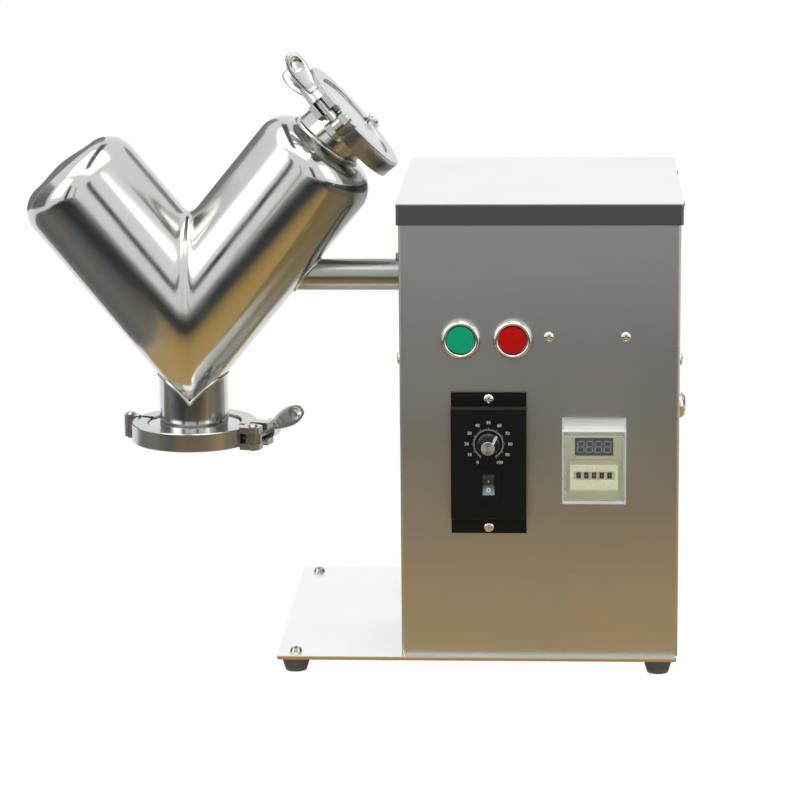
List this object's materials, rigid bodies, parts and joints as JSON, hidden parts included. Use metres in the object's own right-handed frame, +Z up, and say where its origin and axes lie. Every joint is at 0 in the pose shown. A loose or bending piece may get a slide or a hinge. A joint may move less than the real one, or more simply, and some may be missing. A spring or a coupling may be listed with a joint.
{
  "type": "v-blender",
  "caption": "Bench-top laboratory V-shaped powder mixer: polished steel V vessel with clamped inlet and outlet on a driven shaft beside a brushed steel cabinet with speed control and timer",
  "frame": {"origin": "centre of the footprint of the whole object, on the surface that the feet stand on", "axes": "+X from the vessel towards the cabinet, along the drive shaft; +Y from the control panel towards the rear; +Z up"},
  "size_m": [0.5488, 0.295, 0.497],
  "materials": {
    "brushed_steel": "brushed",
    "rubber": "matte",
    "zinc_screw": "polished",
    "grey_paint": "satin",
    "cast_alloy": "cast",
    "bearing_steel": "ground",
    "dark_paint": "satin",
    "winding_red": "varnished",
    "cream_plastic": "moulded",
    "black_plastic": "moulded",
    "clear_plastic": "clear",
    "display_black": "gloss",
    "bezel_chrome": "polished",
    "green_plastic": "moulded",
    "nickel": "plated",
    "turned_steel": "turned",
    "mirror_steel": "mirror polished",
    "gasket_white": "matte",
    "cast_steel": "cast and tumbled",
    "green_lens": "gloss",
    "red_lens": "gloss",
    "knob_metal": "turned",
    "rocker_grey": "moulded",
    "wheel_black": "moulded",
    "wheel_red": "moulded"
  },
  "bodies": {
    "root": {"base_plate": "brushed_steel", "rubber_feet": "rubber", "foot_screws": "zinc_screw", "cabinet_shell": "brushed_steel", "rear_panel": "brushed_steel", "top_cover": "brushed_steel", "pan_head_screws": "zinc_screw", "hex_bolts": "zinc_screw", "drive_frame": "grey_paint", "bearing_housing": "cast_alloy", "bearing_outer_rings": "bearing_steel", "gearhead_case": "cast_alloy", "motor_housing": "dark_paint", "stator": "winding_red", "capacitor": "cream_plastic", "controller_case": "black_plastic", "controller_face": "black_plastic", "timer_case": "cream_plastic", "timer_cover": "clear_plastic", "timer_display": "display_black", "button_bezels": "bezel_chrome", "contact_blocks": "green_plastic", "cable_gland": "nickel", "drive_belt": "rubber", "button_springs": "turned_steel"},
    "vessel": {"vessel_left_shell": "mirror_steel", "vessel_right_shell": "mirror_steel", "drive_shaft": "turned_steel", "bearing_inner_rings": "bearing_steel", "driven_pulley": "cast_alloy", "outlet_neck": "mirror_steel", "inlet_neck": "mirror_steel", "hub_tube": "mirror_steel", "hub_screw": "zinc_screw", "port_gaskets": "gasket_white", "outlet_cap": "mirror_steel", "inlet_cap": "mirror_steel", "outlet_clamp_front": "cast_steel", "inlet_clamp_front": "cast_steel", "clamp_pins": "turned_steel"},
    "balls": {"bearing_balls": "bearing_steel"},
    "output": {"output_gear": "turned_steel", "driving_pulley": "cast_alloy"},
    "cluster": {"cluster_gear": "turned_steel"},
    "rotor": {"motor_rotor": "turned_steel"},
    "outlet_clamp": {"outlet_clamp_rear": "cast_steel"},
    "inlet_clamp": {"inlet_clamp_rear": "cast_steel"},
    "outlet_swing_bolt": {"outlet_bolt": "turned_steel"},
    "inlet_swing_bolt": {"inlet_bolt": "turned_steel"},
    "outlet_nut": {"outlet_wing_nut": "cast_steel"},
    "inlet_nut": {"inlet_wing_nut": "cast_steel"},
    "start_button": {"start_button": "green_lens"},
    "stop_button": {"stop_button": "red_lens"},
    "knob": {"speed_knob": "knob_metal"},
    "rocker": {"rocker_switch": "rocker_grey"},
    "digit_1": {"digit_wheel_1": "wheel_black"},
    "digit_2": {"digit_wheel_2": "wheel_black"},
    "digit_3": {"digit_wheel_3": "wheel_red"},
    "digit_4": {"digit_wheel_4": "wheel_black"},
    "digit_5": {"digit_wheel_5": "wheel_black"}
  },
  "joints": [
    {"name": "vessel_spin", "type": "hinge", "parent": "root", "child": "vessel", "pos_m": [0.0404, 0.0115, 0.304], "axis": [1, 0, 0], "continuous": true},
    {"name": "bearing_balls_turn", "type": "hinge", "parent": "root", "child": "balls", "pos_m": [0.0504, 0.0115, 0.304], "axis": [1, 0, 0], "continuous": true},
    {"name": "output_turn", "type": "hinge", "parent": "root", "child": "output", "pos_m": [0.1404, 0.0115, 0.073], "axis": [1, 0, 0], "continuous": true},
    {"name": "cluster_turn", "type": "hinge", "parent": "root", "child": "cluster", "pos_m": [0.1504, -0.00482, 0.05341], "axis": [1, 0, 0], "continuous": true},
    {"name": "rotor_turn", "type": "hinge", "parent": "root", "child": "rotor", "pos_m": [0.2004, 0.0115, 0.061], "axis": [1, 0, 0], "continuous": true},
    {"name": "outlet_clamp_open", "type": "hinge", "parent": "vessel", "child": "outlet_clamp", "pos_m": [-0.19553, 0.02967, 0.1715], "axis": [0, 0, 1], "range_deg": [0, 5.5]},
    {"name": "outlet_bolt_swing", "type": "hinge", "parent": "vessel", "child": "outlet_swing_bolt", "pos_m": [-0.08737, -0.01704, 0.1715], "axis": [0, 0, -1], "range_deg": [0, 60.5]},
    {"name": "outlet_nut_travel", "type": "slide", "parent": "outlet_swing_bolt", "child": "outlet_nut", "axis": [0.309, 0.9511, 0], "range_m": [0, 0.021]},
    {"name": "inlet_clamp_open", "type": "hinge", "parent": "vessel", "child": "inlet_clamp", "pos_m": [0.00434, 0.06802, 0.419], "axis": [-0.7547, 0, -0.6561], "range_deg": [0, 5.5]},
    {"name": "inlet_bolt_swing", "type": "hinge", "parent": "vessel", "child": "inlet_swing_bolt", "pos_m": [-0.00993, -0.04777, 0.43542], "axis": [0.7547, 0, 0.6561], "range_deg": [0, 60.5]},
    {"name": "inlet_nut_travel", "type": "slide", "parent": "inlet_swing_bolt", "child": "inlet_nut", "axis": [-0.6306, 0.2756, 0.7255], "range_m": [0, 0.021]},
    {"name": "start_press", "type": "slide", "parent": "root", "child": "start_button", "axis": [0, 1, 0], "range_m": [0, 0.003], "stiffness_N_per_m": 250, "springref_m": -0.004, "deforming": ["button_springs"]},
    {"name": "stop_press", "type": "slide", "parent": "root", "child": "stop_button", "axis": [0, 1, 0], "range_m": [0, 0.003], "stiffness_N_per_m": 250, "springref_m": -0.004, "deforming": ["button_springs"]},
    {"name": "speed_turn", "type": "hinge", "parent": "root", "child": "knob", "pos_m": [0.1113, -0.1305, 0.1927], "axis": [0, 1, 0], "range_deg": [-195, 105]},
    {"name": "rocker_tip", "type": "hinge", "parent": "root", "child": "rocker", "pos_m": [0.1113, -0.1275, 0.1599], "axis": [-1, 0, 0], "range_deg": [0, 20]},
    {"name": "digit_1_turn", "type": "hinge", "parent": "root", "child": "digit_1", "pos_m": [0.1826, -0.1269, 0.167], "axis": [1, 0, 0], "continuous": true},
    {"name": "digit_2_turn", "type": "hinge", "parent": "root", "child": "digit_2", "pos_m": [0.1887, -0.1269, 0.167], "axis": [1, 0, 0], "continuous": true},
    {"name": "digit_3_turn", "type": "hinge", "parent": "root", "child": "digit_3", "pos_m": [0.1948, -0.1269, 0.167], "axis": [1, 0, 0], "continuous": true},
    {"name": "digit_4_turn", "type": "hinge", "parent": "root", "child": "digit_4", "pos_m": [0.2009, -0.1269, 0.167], "axis": [1, 0, 0], "continuous": true},
    {"name": "digit_5_turn", "type": "hinge", "parent": "root", "child": "digit_5", "pos_m": [0.207, -0.1269, 0.167], "axis": [1, 0, 0], "continuous": true}
  ],
  "couplings": [
    {"joint": "bearing_balls_turn", "follows": "vessel_spin", "ratio": 0.388},
    {"joint": "output_turn", "follows": "vessel_spin", "ratio": 2},
    {"joint": "cluster_turn", "follows": "vessel_spin", "ratio": -8},
    {"joint": "rotor_turn", "follows": "vessel_spin", "ratio": 32},
    {"joint": "outlet_bolt_swing", "follows": "outlet_clamp_open", "ratio": 11},
    {"joint": "outlet_nut_travel", "follows": "outlet_clamp_open", "m_per_rad": 0.215},
    {"joint": "inlet_bolt_swing", "follows": "inlet_clamp_open", "ratio": 11},
    {"joint": "inlet_nut_travel", "follows": "inlet_clamp_open", "m_per_rad": 0.215}
  ]
}
